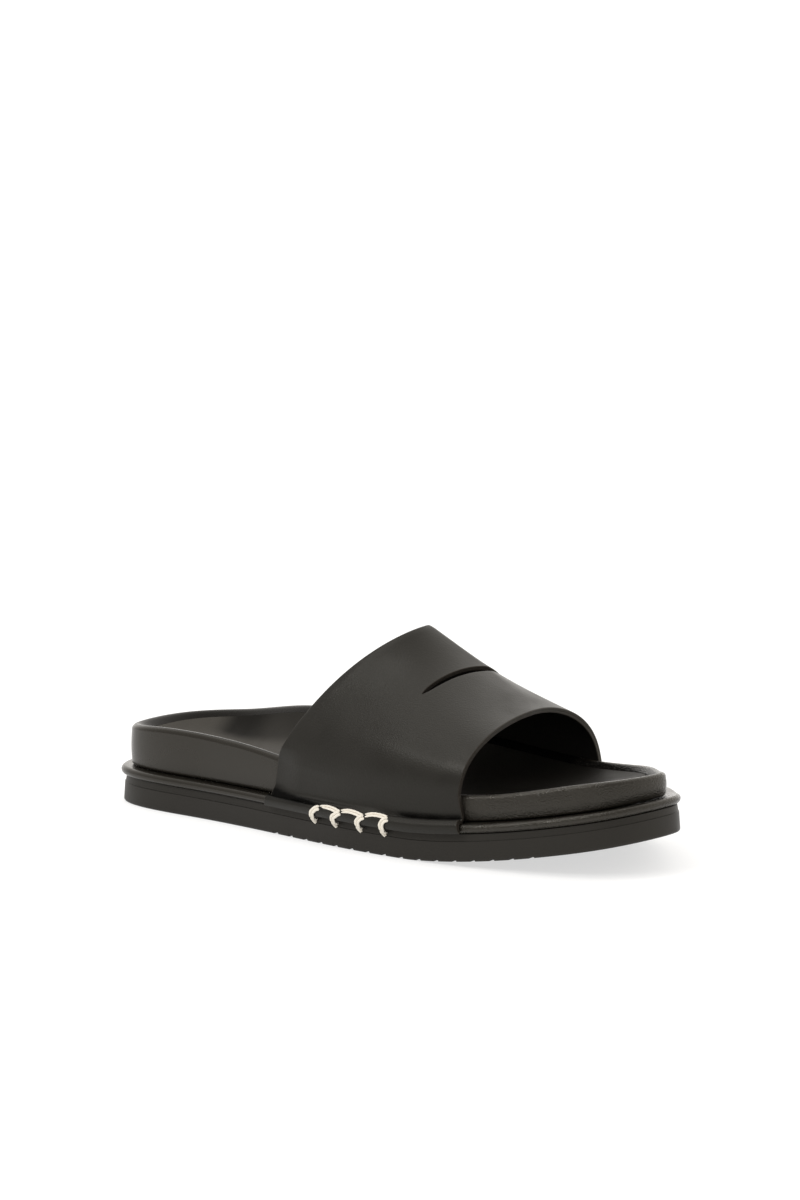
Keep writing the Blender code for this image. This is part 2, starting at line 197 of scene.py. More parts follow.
def make_piece(name, points, faces, kinds=None, attributes=()):
    """One closed mesh object that rides on the body, its doubles merged and its faces outwards.
    kinds is the material of each face, and attributes are names with a number for each point."""
    mesh = bpy.data.meshes.new(name)
    mesh.from_pydata(points.tolist(), [], faces.tolist())
    if kinds is not None:
        mesh.polygons.foreach_set("material_index", np.asarray(kinds, np.int32))
    for key, values in attributes:
        attribute = mesh.attributes.new(key, "FLOAT", "POINT")
        attribute.data.foreach_set("value", np.asarray(values, np.float32))
    shape = bmesh.new()
    shape.from_mesh(mesh)
    bmesh.ops.remove_doubles(shape, verts=shape.verts, dist=MERGE)
    bmesh.ops.dissolve_degenerate(shape, edges=shape.edges, dist=COLLAPSE)
    bmesh.ops.recalc_face_normals(shape, faces=shape.faces)
    shape.to_mesh(mesh)
    open_edges = sum(1 for edge in shape.edges if len(edge.link_faces) != 2)
    shape.free()
    mesh.shade_smooth()
    mesh.set_sharp_from_angle(angle=np.radians(SHARP))
    piece = bpy.data.objects.new(name, mesh)
    bpy.context.scene.collection.objects.link(piece)
    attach(piece, "root")
    print(f"{name}: {len(mesh.polygons)} faces, {open_edges} open edges")
    return piece


def ring_faces(rings, count, first=0):
    """Quads between a stack of rings, each of count points."""
    low = np.arange(rings - 1)[:, None] * count + first
    i = np.arange(count)[None]
    j = (i + 1) % count
    return np.stack([low + i, low + j, low + count + j, low + count + i], -1).reshape(-1, 4)


def grid_faces(rows, columns, first=0):
    """Quads of an open grid."""
    i = (np.arange(rows - 1)[:, None] * columns + np.arange(columns - 1)[None] + first).ravel()
    return np.stack([i, i + 1, i + columns + 1, i + columns], 1)


def across(edge, columns):
    """A grid ruled straight across a ring, from each place on the outer side to the inner side."""
    half = len(edge) // 2
    outer, inner = edge[:half + 1], np.vstack([edge[:1], edge[:half - 1:-1]])
    t = np.linspace(0, 1, columns)[None, :, None]
    return outer[:, None] * (1 - t) + inner[:, None] * t


def ring_piece(name, rings, bottom=2, top=2, attributes=()):
    """A closed piece from a stack of rings. The first and the last ring are filled straight across
    the foot, in so many columns, or left as they are with 0 where they close by themselves."""
    count = len(rings[0])
    faces = [ring_faces(len(rings), count)]
    points = [np.vstack(rings)]
    total = len(rings) * count
    for edge, columns in ((rings[0], bottom), (rings[-1], top)):
        if columns:
            grid = across(edge, columns)
            faces.append(grid_faces(*grid.shape[:2], total))
            points.append(grid.reshape(-1, 3))
            total += len(points[-1])
    padded = [(key, np.concatenate([values, np.zeros(total - len(values))]))
              for key, values in attributes]
    return make_piece(name, np.vstack(points), np.vstack(faces), None, padded)


# %% [markdown]
# ## The rubber outsole
# The sole is one moulded block of rubber: a bevelled band under the rim, a plain side that spreads a
# little to the ground, and a tread with cross grooves from the waist forward, which show as notches
# along its lower edge. The side is a graph over height, so where a groove lifts the lower edge the rows
# above it close up, and no face is folded.

# %% Outsole
OUTSOLE_THICK, BEVEL_TALL, BEVEL_IN = 0.0118, 0.0030, 0.0008
SIDE_FLARE, FOOT_ROUND = 0.0006, 0.0012
GROOVE_WIDE, GROOVE_DEEP, GROOVE_PITCH = 0.0024, 0.0010, 0.0089
GROOVE_FIRST, GROOVE_LAST = 0.358, 0.84
GROOVE_WALL = 0.00015       # how far a groove's wall leans
GROOVE_FADE = 0.004         # height at which the rows over a groove are level again
STEP_IN, STEP_TALL = 0.0003, 0.0002     # the fine step between bevel and side
SIDE_ROWS = np.array([0, 0.1, 0.25, 0.5, 0.85, 1.2, 2.0, 3.0, 4.0, 6.0]) / 1000
BEVEL_START = 0.0006        # the first full row of the bevel above the step
CLEAR = 0.0012              # even stations stay this share of the length away from a groove's corners

grooves = np.arange((GROOVE_FIRST - 0.5) * LENGTH, (GROOVE_LAST - 0.5) * LENGTH, GROOVE_PITCH)
corners = [share(grooves + side * (GROOVE_WIDE / 2 + lean))
           for side in (-1, 1) for lean in (-GROOVE_WALL, GROOVE_WALL)]
even = stations(200)
even = even[np.abs(even[:, None] - np.concatenate(corners)[None]).min(1) > CLEAR]
SOLE_STATIONS = np.sort(np.concatenate([even, *corners]))


def tread(x):
    """Height of the tread above the ground curve: nothing, and GROOVE_DEEP inside a groove."""
    near = np.abs(x[:, None] - grooves[None]).min(1)
    return GROOVE_DEEP * (near < GROOVE_WIDE / 2)


def sole_side(height):
    """Inset of the sole's side at a height: rounded foot, straight side, step, then the bevel."""
    bevel_low = OUTSOLE_THICK - BEVEL_TALL
    foot = FOOT_ROUND * (1 - np.sqrt(1 - np.clip(1 - height / FOOT_ROUND, 0, 1)**2))
    side = -SIDE_FLARE / 2 + SIDE_FLARE * np.clip(height / bevel_low, 0, 1)
    bevel = np.clip((height - bevel_low) / BEVEL_TALL, 0, 1)
    return foot + side + np.where(height > bevel_low, STEP_IN + (BEVEL_IN - STEP_IN) * bevel, 0)


def make_outsole():
    """Rows of rings at set heights; the rows below GROOVE_FADE close up over a groove."""
    plan = ring(0.0, SOLE_STATIONS)
    low = tread(plan[:, 0])
    bevel_low = OUTSOLE_THICK - BEVEL_TALL
    heights = np.concatenate([SIDE_ROWS, [bevel_low - STEP_TALL / 2, bevel_low + STEP_TALL / 2],
                              np.linspace(bevel_low + BEVEL_START, OUTSOLE_THICK, 5)])
    rings = []
    for height in heights:
        part = max(0, 1 - height / GROOVE_FADE)
        bare, grooved = (ring(float(sole_side(height + deep * part)), SOLE_STATIONS)
                         for deep in (0, GROOVE_DEEP))
        rings.append(lifted(np.where(low[:, None] > 0, grooved, bare), height + low * part))
    return ring_piece("outsole_rubber", rings, bottom=30, top=2)


outsole = make_outsole()
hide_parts("outsole")

# %% [markdown]
# ## The rolled rim
# A strip of leather is rolled round the edge of a board, so it looks like a piping between sole and
# footbed. Its section is a half circle carried round the outline, a little proud of the rubber.

# %% Rim
GAP = 0.0003                # between one piece and the next
RIM_RADIUS, RIM_OUT_HEEL, RIM_OUT_TOE = 0.0020, 0.0013, 0.0003
RIM_LOW = OUTSOLE_THICK + GAP
RIM_MIDDLE, RIM_HIGH = RIM_LOW + RIM_RADIUS, RIM_LOW + 2 * RIM_RADIUS
ROLL_IN = RIM_RADIUS - RIM_OUT_HEEL - (RIM_OUT_TOE - RIM_OUT_HEEL) * share(OUTLINE[:, 0])
STATION = stations(240)


def make_rim():
    """Rings on a half circle: inset = middle - radius cos, height = middle + radius sin."""
    rings = [lifted(ring(ROLL_IN - RIM_RADIUS * np.cos(a), STATION), RIM_MIDDLE + RIM_RADIUS * np.sin(a))
             for a in np.radians(np.linspace(-88, 88, 21))]
    low, high = (lifted(ring(ROLL_IN + RIM_RADIUS, STATION), height) for height in (RIM_LOW, RIM_HIGH))
    return ring_piece("rim_leather", [low, *rings, high])


rim = make_rim()
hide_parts("rim")

# %% [markdown]
# ## The footbed
# The footbed is a soft block with leather pulled over it. It has a cup for the heel, a high arch on the
# inner side and a low lip at the toe. Its heights are a short table along the foot, for the outer lip,
# the inner lip and the middle of the dish.

# %% Footbed
FOOTBED_WALL, WALL_IN_HEEL, WALL_IN_TOE = 0.0200, 0.0034, 0.0060
LIP_WIDE, LIP_ROUND, DISH_INSET, INSOLE_THICK = 0.0022, 0.0024, 0.0107, 0.0012
TUCK = 0.0011               # rounding of the side where its leather tucks under
SWELL = 0.00035             # how far the padded side stands out at half its height
EDGE_DROP = 0.0024          # from the crest of the lip down to the edge of the dish
SEAM = 0.0001               # beside the sock, between it and the leather round it
SPINE_HEEL, SPINE_TOE = 0.13, 0.86      # ends of the line down the middle of the dish
DISH_POWER = 2.4
CREST_ROW, INSIDE_ROW = 28, 34          # rings where the crest of the lip and its inside begin
# How much painted shade the crest of the lip gets at the heel and at the toe, and the inside of the lip.
CREST_SHADE_HEEL, CREST_SHADE_TOE, INSIDE_SHADE = 0.75, 0.2, 0.8
SHADE_REAR, SHADE_OUTER, SHADE_INNER = -0.034, 0.044, 0.058
SHADE_REAR_SOFT, SHADE_SOFT = 0.020, 0.012
BED_LOW = RIM_HIGH + GAP
WALL_IN = WALL_IN_HEEL + (WALL_IN_TOE - WALL_IN_HEEL) * share(OUTLINE[:, 0])
Bed = namedtuple("Bed", "along outer inner middle")
BED = [
    Bed(0.00, 0.87, 0.87, 0.40), Bed(0.12, 1.00, 0.98, 0.37), Bed(0.25, 0.96, 1.28, 0.42),
    Bed(0.42, 0.74, 1.38, 0.58), Bed(0.60, 0.64, 1.05, 0.46), Bed(0.75, 0.56, 0.56, 0.28),
    Bed(0.90, 0.60, 0.47, 0.25), Bed(1.00, 0.52, 0.52, 0.25),
]


def bed_height(along, column):
    """Height of one line of the footbed above the sole's curve, from its column in the table."""
    heights = [getattr(row, column) for row in BED]
    return BED_LOW + FOOTBED_WALL * smooth(along, [row.along for row in BED], heights)


AROUND = np.concatenate([STATION, STATION[-2:0:-1]])
INNER_SIDE = np.arange(len(AROUND)) > len(STATION) - 1
LIP = np.where(INNER_SIDE, bed_height(AROUND, "inner"), bed_height(AROUND, "outer"))
BED_EDGE = LIP - EDGE_DROP


def dish(inset, size, below):
    """A ring of the dish; size 1 is its edge, 0 the line down the middle. The height between them
    follows size to the power DISH_POWER, so the bottom is broad and the sides steepen."""
    edge = ring(inset, STATION)
    spine_x = (np.interp(AROUND, [0, 1], [SPINE_HEEL, SPINE_TOE]) - 0.5) * LENGTH
    spine_y = (side_y(spine_x, inset, False) + side_y(spine_x, inset, True)) / 2
    plan = edge * size + np.stack([spine_x, spine_y], 1) * (1 - size)
    middle = bed_height(share(plan[:, 0]), "middle")
    return lifted(plan, middle + (BED_EDGE - middle) * size**DISH_POWER - below)


def make_footbed():
    """Rings up the side, over the lip on a quarter ellipse, down to the dish and in to its middle."""
    rings = []
    for a in np.radians(np.linspace(0, 90, 6)):
        inset, height = WALL_IN + TUCK * (1 - np.sin(a)), BED_LOW + TUCK * (1 - np.cos(a))
        rings.append(lifted(ring(inset, STATION), height))
    base, top = BED_LOW + TUCK, LIP - LIP_ROUND
    for part in np.linspace(0, 1, 14)[1:-1]:
        swell = SWELL * np.sin(np.pi * part)
        rings.append(lifted(ring(WALL_IN - swell, STATION), base + (top - base) * part))
    for a in np.radians(np.linspace(0, 90, 14)):
        inset, height = WALL_IN + LIP_WIDE * (1 - np.cos(a)), LIP - LIP_ROUND * (1 - np.sin(a))
        rings.append(lifted(ring(inset, STATION), height))
    crest_in = WALL_IN + LIP_WIDE
    for part in np.linspace(0, 1, 9)[1:]:
        drop = (LIP - BED_EDGE) * (1.6 * part**2 - 0.6 * part**3)
        rings.append(lifted(ring(crest_in + (DISH_INSET - crest_in) * part, STATION), LIP - drop))
    rings += [dish(DISH_INSET + SEAM, size, INSOLE_THICK + GAP) for size in np.linspace(1, 0, 24)]
    # Painted shade: the leather is made dull and near black where the strap shades it, along the crest of
    # the lip, and inside the lip.
    x, y = ring(WALL_IN, STATION).T
    shaded = 1 - fade((x - SHADE_REAR) / SHADE_REAR_SOFT)
    shaded *= fade((x - np.where(y < 0, SHADE_OUTER, SHADE_INNER)) / SHADE_SOFT)
    crest = np.where(x < 0, CREST_SHADE_HEEL, CREST_SHADE_TOE)
    shade_paint = [np.maximum(shaded, INSIDE_SHADE if number >= INSIDE_ROW else crest * (number >= CREST_ROW))
            for number in range(len(rings))]
    return ring_piece("footbed_cover", rings, bottom=2, top=0,
                      attributes=[("painted_shade", np.concatenate(shade_paint))])


footbed = make_footbed()
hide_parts("footbed")

# %% [markdown]
# ## The insole
# A thin leather sock is glued into the dish, flush with the lip, with a soft rounded edge. The inner
# side of the heel cup is painted dull and dark: painted shade. The heel end of the sock is painted paler
# and made glossier: a painted highlight.

# %% Insole
EDGE_ROUND = 0.0002
EDGE_IN, EDGE_TALL = 0.6, 0.4           # share of the rounding and of the thickness that the edge turns
CUP_END, CUP_DEEP, CUP_FRONT = -0.116, -0.098, -0.030       # x where the dull part starts and ends
CUP_SIDE = 0.008            # y from which the wall of the cup is dull
# How much painted shade the inner wall of the cup gets, and how much more near its end.
CUP_SHADE, CUP_SHADE_DEEPER = 0.5, 0.3


def make_insole():
    """Rings of the dish, out along its underside, round the edge and in along its top."""
    inset = DISH_INSET + SEAM
    sizes = np.linspace(0, 1, 40)
    rings = [dish(inset, size, INSOLE_THICK) for size in sizes]
    for a in np.radians([25, 50, 75]):
        turned = EDGE_ROUND * (1 - np.sin(a)) * EDGE_IN
        rings.append(dish(inset + turned, 1, INSOLE_THICK * EDGE_TALL * np.cos(a)))
    rings += [dish(inset + EDGE_ROUND, size, 0.0) for size in sizes[::-1]]
    # Painted shade on the inner side wall of the heel cup, darkest near its end.
    x, y, _ = np.vstack(rings).T
    shade_paint = CUP_SHADE + CUP_SHADE_DEEPER * fade((x - CUP_DEEP) / 0.016)
    shade_paint *= (1 - fade((y - CUP_SIDE) / 0.006)) * (1 - fade((x - CUP_END) / 0.012))
    shade_paint *= fade((x - CUP_FRONT) / 0.04)
    return ring_piece("insole_sock", rings, bottom=0, top=0,
                      attributes=[("painted_shade", shade_paint)])


insole = make_insole()
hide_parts("insole")

# %% [markdown]
# ## The strap, as one smooth surface
# The strap is a single wide piece of leather, cut flat, bent over the instep and turned out over the
# rim at both feet. Its outside is a function of two parameters: u runs from the rear edge to the front
# edge, and v from the outer foot over the ridge to the inner foot.

# %% Strap surface
STRAP_THICK = 0.0025
REAR_TOP, FRONT_TOP = 0.0888, 0.0586
RIDGE_SAG, RIDGE_SHIFT, RIDGE_FULL = 0.0032, 0.0072, 0.07
FOOT_BACK, FOOT_FORE = 0.0036, 0.0036
REAR_THROAT, FRONT_THROAT = 0.11, 0.05      # rounding of the edges where they cross the ridge
Edge = namedtuple("Edge", "outer inner ridge ridge_across fullness sweep top")
REAR = Edge(0.353, 0.378, 0.515, 0.096, 0.575, 0.54, REAR_TOP)
FRONT = Edge(0.710, 0.747, 0.724, 0.053, 0.405, 0.80, FRONT_TOP)
ROLL = RIM_RADIUS + GAP + STRAP_THICK
ROLL_FROM, ROLL_TO = -27, 62            # degrees of the roll that the foot covers
ROLL_TURN = ((0.24, 0.965), (0.08, 1.08))    # the crease: how far out and up, as shares of ROLL
ROLL_TOP = 1.4              # where the foot stands straight up along the footbed, as a share of ROLL
ARCH_ROWS = 121
STRAP_WALL = WALL_IN - GAP - STRAP_THICK


def strap_foot(u, inner):
    """Points of one foot for each u: round the rim on a circle, up through a soft crease and along
    the footbed's side to the lip. Returns the foot's rows and the point at the lip."""
    side = "inner" if inner else "outer"
    lip_x = (getattr(REAR, side) * (1 - u) + getattr(FRONT, side) * u - 0.5) * LENGTH
    lip = bed_height(share(lip_x), side)
    rows = [(ROLL_IN - ROLL * np.cos(a), RIM_MIDDLE + ROLL * np.sin(a) + 0 * u)
            for a in np.radians(np.linspace(ROLL_FROM, ROLL_TO, 15))]
    rows += [(STRAP_WALL - ROLL * out, RIM_MIDDLE + ROLL * up + 0 * u) for out, up in ROLL_TURN]
    turn_top = RIM_MIDDLE + ROLL * ROLL_TOP
    rows += [(STRAP_WALL, turn_top + (lip - turn_top) * part) for part in (0, 0.2, 0.4, 0.6, 0.8)]
    points = []
    for inset, z in rows:
        down = np.clip((lip - z) / (lip - RIM_LOW), 0, 1)
        x = lip_x + (FOOT_FORE * u - FOOT_BACK * (1 - u)) * down
        points.append(np.stack([x, side_y(x, inset, inner), z + spring(x)], -1))
    at_lip = np.stack([lip_x, side_y(lip_x, STRAP_WALL, inner), lip + spring(lip_x)], -1)
    return np.stack(points, 1), at_lip


def strap_outside(u):
    """The outside of the strap: for each u, the foot, the arch and the other foot. The arch's height
    above the lips follows (1 - wide * wide) to the power of its fullness, and its edges sweep forward
    by the same height."""
    def between(name):
        return getattr(REAR, name) * (1 - u) + getattr(FRONT, name) * u

    bulge = 4 * u * (1 - u)
    top = np.stack([(between("ridge") - 0.5) * LENGTH,
                    between("ridge_across") * BALL + RIDGE_SHIFT * bulge,
                    between("top") - RIDGE_SAG * bulge], -1)
    throat = REAR_THROAT * (1 - u) + FRONT_THROAT * u
    sweep = between("sweep")
    (outer_foot, outer_lip), (inner_foot, inner_lip) = strap_foot(u, False), strap_foot(u, True)
    arch = []
    for s in np.linspace(-1, 1, ARCH_ROWS):
        lip = outer_lip if s < 0 else inner_lip
        wide = np.sin(np.pi / 2 * abs(s))
        rise = max(1 - wide**2, 0)**(between("fullness") - RIDGE_FULL * bulge)
        forth = ((1 - rise + throat)**sweep - throat**sweep) / ((1 + throat)**sweep - throat**sweep)
        reach = np.stack([forth, 0 * u + wide, 1 - rise], -1)
        arch.append(top + (lip - top) * reach)
    return np.concatenate([outer_foot, np.stack(arch, 1), inner_foot[:, ::-1]], 1)


def respaced(grid, count):
    """The same surface with count rows along v, evenly spaced by the mean distance between rows."""
    step = np.linalg.norm(np.diff(grid, axis=1), axis=2).mean(0)
    place = np.concatenate([[0], np.cumsum(step)])
    spaced = np.linspace(0, place[-1], count)
    lines = [np.stack([smooth(spaced, place, line[:, k]) for k in range(3)], -1) for line in grid]
    return np.stack(lines), spaced


COLUMNS, ROWS = 241, 281
U = np.linspace(0, 1, COLUMNS)
SURFACE, V = respaced(strap_outside(U), ROWS)


def unit(vectors):
    """The same directions with length 1."""
    return vectors / np.linalg.norm(vectors, axis=-1, keepdims=True)


ALONG_U = unit(np.gradient(SURFACE, axis=0))
ALONG_V = unit(np.gradient(SURFACE, axis=1))
NORMAL = unit(np.cross(ALONG_U, ALONG_V))
if NORMAL[COLUMNS // 2, ROWS // 2, 2] < 0:
    NORMAL = -NORMAL


def at_u(grid, u):
    """Values of a grid at a different u in each row: straight interpolation between its columns."""
    place = u * (COLUMNS - 1)
    low = np.clip(place.astype(int), 0, COLUMNS - 2)
    part = (place - low)[..., None]
    row = np.arange(ROWS)[None]
    return grid[low, row] * (1 - part) + grid[low + 1, row] * part


# %% [markdown]
# ## The slit and the cut edges
# The strap has one slanting slit across its ridge. The grid is split along the slit's line: the rear
# panel ends on one lip and the front panel starts on the other, and beyond the slit's tips both share
# the same points. The edge of the leather is raw: two layers glued together, with soft corners and a
# fine line between them, so a small profile is carried round each border.

# %% Strap
SLIT_LONG, SLIT_WIDE, SLIT_TURN = 0.0530, 0.0023, 13.5
OPENING_LEAST = 0.00002     # a narrower opening counts as closed, so that the tips end in one point
TIP_BLUNT, TIP_SOFT = 8, 0.003          # power of the opening, and length over which its edge softens
FOOT_LONG = 0.11            # length of the strap's foot, which turns a step in u into metres
SLIT_AT = ((0.603 - 0.5) * LENGTH, 0.04 * BALL)
CORNER = 0.00028            # rounding of the cut edge
REAR_COLUMNS, FRONT_COLUMNS = 62, 52
REAR_LIFT, FRONT_DIP, LIP_REACH = 0.0004, 0.0002, 0.008
# Profile of a cut edge: share of the thickness, and how far back from the cut, as shares of CORNER.
# The notch at 0.55 is the glue line.
PROFILE = [(0.0, 1.0), (0.02, 0.62), (0.06, 0.28), (0.11, 0.08), (0.17, 0.0), (0.35, 0.0),
           (0.50, 0.0), (0.55, 0.34), (0.60, 0.0), (0.72, 0.0), (0.84, 0.0), (0.90, 0.10),
           (0.95, 0.32), (0.985, 0.66), (1.0, 1.0)]


def slit_columns():
    """For each row of the surface: u of the slit's rear lip and front lip, and how far it is along
    the slit, from -1 to 1. Beyond the tips both lips have the same u."""
    turn = np.radians(SLIT_TURN)
    direction = np.array([np.sin(turn), np.cos(turn)])
    square = np.array([np.cos(turn), -np.sin(turn)])
    offset = SURFACE[:, :, :2] - np.array(SLIT_AT)
    forth, side = offset @ square, offset @ direction
    middle = np.arange(ROWS)[(V > V[-1] * 0.25) & (V < V[-1] * 0.75)]
    line = np.array([np.interp(0.0, forth[:, r], U) for r in middle])
    s = np.array([np.interp(u, U, side[:, r]) for u, r in zip(line, middle)]) / (SLIT_LONG / 2)
    opening = SLIT_WIDE / 2 * np.clip(1 - s**TIP_BLUNT, 0, None)
    opening[opening < OPENING_LEAST] = 0
    rear = np.array([np.interp(-w, forth[:, r], U) for w, r in zip(opening, middle)])
    front = np.array([np.interp(w, forth[:, r], U) for w, r in zip(opening, middle)])
    inside = opening > 0
    first, last = middle[inside][0] - 1, middle[inside][-1] + 1
    keep = (middle >= first) & (middle <= last)
    rear, front = (np.interp(np.arange(ROWS), middle[keep], values[keep]) for values in (rear, front))
    along = np.interp(np.arange(ROWS), middle, s)
    return rear, front, along, first, last


# The outside of the leather is shaped a little more than its inside: cut edges roll off, the crease
# over the rolled foot is tight, and its rear end is a deep hollow. The edge against the footbed's side
# is pared thin, as a shoemaker skives it, and so is the foot's lower edge.
EDGE_FALL, EDGE_REACH = 0.0004, 0.045
CREASE_WIDE, CREASE_DEEP = 0.0010, 0.0014
CREASE_U, CREASE_V = [0, 0.22, 0.45, 0.70, 1.0], [0.0086, 0.0069, 0.0072, 0.0094, 0.0095]
HOLLOW_WIDE, HOLLOW_DEEP, HOLLOW_LONG = 0.0024, 0.0013, 0.24
SKIVE_DEEP, SKIVE_LONG = 0.0019, 0.16
FOOT_PARE, FOOT_PARE_LONG = 0.0009, 0.0050
ARCH_FROM, ARCH_SOFT = 0.030, 0.020     # distance from the foot at which the arch's edges roll off
SKIVE_FROM, SKIVE_FROM_SOFT, SKIVE_TO, SKIVE_TO_SOFT = 0.0085, 0.0040, 0.0200, 0.0090
# Painted shade: the dark line painted along the crease runs behind the first stitch and in front of the
# last one, and the painted shadow in the hollow gets narrower forwards until it ends.
LINE_REAR, LINE_FRONT, LINE_WIDE = 0.26, 0.67, 0.0015
DARK_WIDE, DARK_NARROWS, DARK_END, DARK_FULL = 0.0027, 0.0045, 0.18, 2.2

FROM_FOOT = np.minimum(V, V[-1] - V)[None]
OUTER_SIDE = (V < V[-1] / 2)[None]


def above_crease(u):
    """Distance from the line of the crease, up the leather, at each u of a grid of rows."""
    return FROM_FOOT - smooth(u, CREASE_U, CREASE_V)


def strap_relief(u):
    """How far the outside sinks below the plain surface, at each u of a grid of rows."""
    arch = 1 - fade((FROM_FOOT - ARCH_FROM) / ARCH_SOFT)
    fall = EDGE_FALL * np.clip(1 - u / EDGE_REACH, 0, 1)**2 * arch
    above = above_crease(u)
    crease = CREASE_DEEP * np.exp(-(above / CREASE_WIDE)**2)
    hollow = HOLLOW_DEEP * np.exp(-(above / HOLLOW_WIDE)**2) * fade(u / HOLLOW_LONG) * OUTER_SIDE
    on_wall = 1 - fade((FROM_FOOT - SKIVE_FROM) / SKIVE_FROM_SOFT)
    on_wall *= fade((FROM_FOOT - SKIVE_TO) / SKIVE_TO_SOFT)
    skive = SKIVE_DEEP * fade(u / SKIVE_LONG) * on_wall
    pare = FOOT_PARE * fade(FROM_FOOT / FOOT_PARE_LONG)
    return np.maximum(skive, hollow + crease) + fall + pare


def crease_painted_shade(u):
    """Painted shade: 1 in the crease and in the hollow at its rear end, where shade falls and the leather is
    painted dull and dark, else 0.
    """
    above = above_crease(u)
    behind, ahead = fade((u - LINE_REAR) / 0.08), 1 - fade((u - LINE_FRONT) / 0.04)
    broken = np.where(u > 0.5, ahead, behind) * (0.8 + 0.2 * np.sin(31 * u)**2)
    line = broken * np.exp(-(above / LINE_WIDE)**2)
    wide = DARK_WIDE - DARK_NARROWS * np.clip(u, 0, 0.3)
    wedge = DARK_FULL * np.exp(-(above / wide)**2) * fade((u - DARK_END) / 0.14) * OUTER_SIDE
    return np.clip(np.maximum(line, wedge), 0, 1) + 0 * u


def edge_rows(outside, inside, out, corner):
    """Profile rows between the two faces of the leather along a border."""
    return np.stack([outside * (1 - t) + inside * t - out * (back * corner)[:, None]
                     for t, back in PROFILE], 1)


Panel = namedtuple("Panel", "outside inside along_u along_v")


def border(panel, pick, way):
    """One stretch of a panel's border: outer points, inner points and the way out of the leather."""
    return panel.outside[pick], panel.inside[pick], way[pick]


def make_strap():
    """A rear and a front panel, each with an outside and an inside, and the cut edge's profile carried
    round the hem and round the slit. The lips of the slit are lifted a little towards its middle."""
    rear_u, front_u, along, first, last = slit_columns()
    strength = np.clip(1 - along**2, 0, 1)
    columns_u, panels = [], []
    for low, high, columns, lip, raised in ((0 * rear_u, rear_u, REAR_COLUMNS, rear_u, REAR_LIFT),
                                            (front_u, 1 + 0 * front_u, FRONT_COLUMNS, front_u, -FRONT_DIP)):
        t = np.linspace(0, 1, columns + 1)[:, None]
        u = low[None] * (1 - t) + high[None] * t
        position, normal = at_u(SURFACE, u), unit(at_u(NORMAL, u))
        lift = raised * strength[None] * np.exp(-np.abs(u - lip[None]) * FOOT_LONG / LIP_REACH)
        outside = position + normal * (lift - strap_relief(u))[..., None]
        inside = position + normal * (lift - STRAP_THICK)[..., None]
        columns_u.append(u)
        panels.append(Panel(outside, inside, at_u(ALONG_U, u), at_u(ALONG_V, u)))
    rear, front = panels

    whole, back = slice(None), slice(None, None, -1)
    stretches = [
        border(rear, (0, whole), -rear.along_u), border(rear, (whole, -1), rear.along_v),
        border(front, (whole, -1), front.along_v), border(front, (-1, back), front.along_u),
        border(front, (back, 0), -front.along_v), border(rear, (back, 0), -rear.along_v),
    ]
    outer, inner, out = (np.concatenate([stretch[k] for stretch in stretches]) for k in range(3))
    # Neighbouring stretches share their end points: keep one of each and let it face between the two.
    same = np.linalg.norm(outer - np.roll(outer, -1, 0), axis=1) < COLLAPSE
    out = np.where(same[:, None], out + np.roll(out, -1, 0), out)
    keep = ~np.roll(same, 1)
    outer, inner, out = outer[keep], inner[keep], unit(out[keep])
    hem = edge_rows(outer, inner, out, np.full(len(outer), CORNER))
    rows = np.arange(first, last + 1)
    returning = rows[-2:0:-1]
    lips_out = np.concatenate([rear.outside[-1, rows], front.outside[0, returning]])
    lips_in = np.concatenate([rear.inside[-1, rows], front.inside[0, returning]])
    lips_way = unit(np.concatenate([rear.along_u[-1, rows], -front.along_u[0, returning]]))
    soft = np.clip(np.minimum(rows - first, last - rows) * (V[1] - V[0]) / TIP_SOFT, 0, 1)
    slit = edge_rows(lips_out, lips_in, lips_way, CORNER * np.concatenate([soft, soft[-2:0:-1]]))

    # The borders of the two faces of the leather move back to where their profile starts and ends.
    in_slit = np.zeros(ROWS)
    in_slit[rows] = soft
    for panel, sign, edge, lip in ((rear, 1, 0, -1), (front, -1, -1, 0)):
        push = np.zeros_like(panel.outside)
        push[edge] += sign * panel.along_u[edge]
        push[:, 0] += panel.along_v[:, 0]
        push[:, -1] -= panel.along_v[:, -1]
        length = np.linalg.norm(push, axis=-1, keepdims=True)
        push = np.where(length > 0, push / np.maximum(length, COLLAPSE), 0) * CORNER
        push[lip] -= sign * unit(panel.along_u[lip]) * (CORNER * in_slit)[:, None]
        panel.outside[:] += push
        panel.inside[:] += push

    points, faces, kinds, total = [], [], [], 0
    for grid, kind in ((rear.outside, 0), (front.outside, 0), (rear.inside, 2), (front.inside, 2)):
        points.append(grid.reshape(-1, 3))
        faces.append(grid_faces(*grid.shape[:2], total))
        kinds.append(np.full(len(faces[-1]), kind))
        total += len(points[-1])
    for loop in (hem, slit):
        count, profile = loop.shape[:2]
        i, k = np.meshgrid(np.arange(count), np.arange(profile - 1), indexing="ij")
        here, beyond = i * profile + k, (i + 1) % count * profile + k
        points.append(loop.reshape(-1, 3))
        faces.append(np.stack([here, beyond, beyond + 1, here + 1], -1).reshape(-1, 4) + total)
        kinds.append(np.full(len(faces[-1]), 1))
        total += len(points[-1])
    # Painted shade from the crease and the hollow, on the outside of both panels.
    painted_shade = np.zeros(total)
    painted_shade[:sum(u.size for u in columns_u)] = np.concatenate([crease_painted_shade(u).ravel() for u in columns_u])
    return make_piece("strap", np.vstack(points), np.vstack(faces),
                      np.concatenate(kinds), [("painted_shade", painted_shade)])


strap = make_strap()
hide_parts("upper")

# %% [markdown]
# ## The blanket stitches
# Four thick stitches hold the strap's outer foot to the sole. Each one is a pair of waxed threads side
# by side: it comes up in the crease, runs over the rolled foot and goes into the rubber below, and a
# link along the crease joins it to the next. Each thread is a small flattened section carried along a
# smooth path, and the path is given on the strap's own surface by u, v and a height above it.

